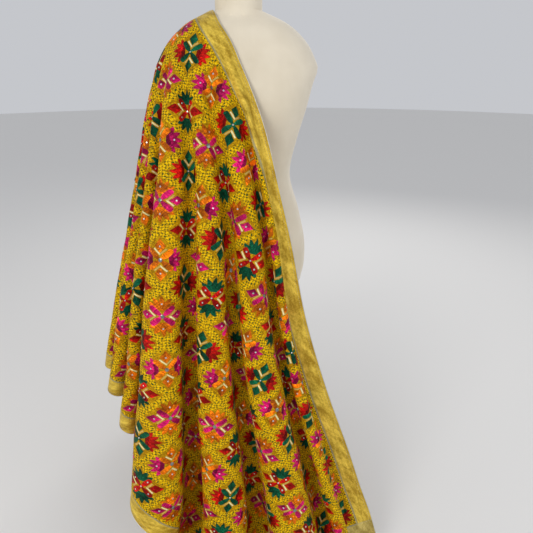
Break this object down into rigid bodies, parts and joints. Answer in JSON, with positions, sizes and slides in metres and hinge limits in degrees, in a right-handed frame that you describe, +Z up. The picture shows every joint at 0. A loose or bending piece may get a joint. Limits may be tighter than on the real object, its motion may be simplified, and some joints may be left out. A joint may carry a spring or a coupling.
{
  "type": "phulkari shawl on dress form",
  "caption": "Embroidered shawl with gold tissue bands, draped over one shoulder of a limbless dress form on a pole and round base",
  "frame": {"origin": "centre of the stand's underside on the floor, on the dress form's vertical axis", "axes": "+Z up; -Y is the front of the form; +X is the form's left, so the shawl hangs on the -X shoulder"},
  "size_m": [0.7896, 0.9202, 1.4304],
  "materials": {
    "embroidered_cloth": "mustard cotton closely embroidered in floss silk",
    "gold_tissue": "crinkled metallic gold tissue",
    "form_cover": "smooth cream jersey over a hard shell",
    "dark_wood": "dark stained, satin",
    "pole_steel": "brushed"
  },
  "bodies": {
    "root": {"shawl_field": "embroidered_cloth", "neck_side_band": "gold_tissue", "outer_side_band": "gold_tissue", "front_end_band": "gold_tissue", "back_end_band": "gold_tissue", "form_body": "form_cover", "neck_cap": "dark_wood", "stand_pole": "pole_steel", "stand_base": "dark_wood"}
  },
  "joints": []
}
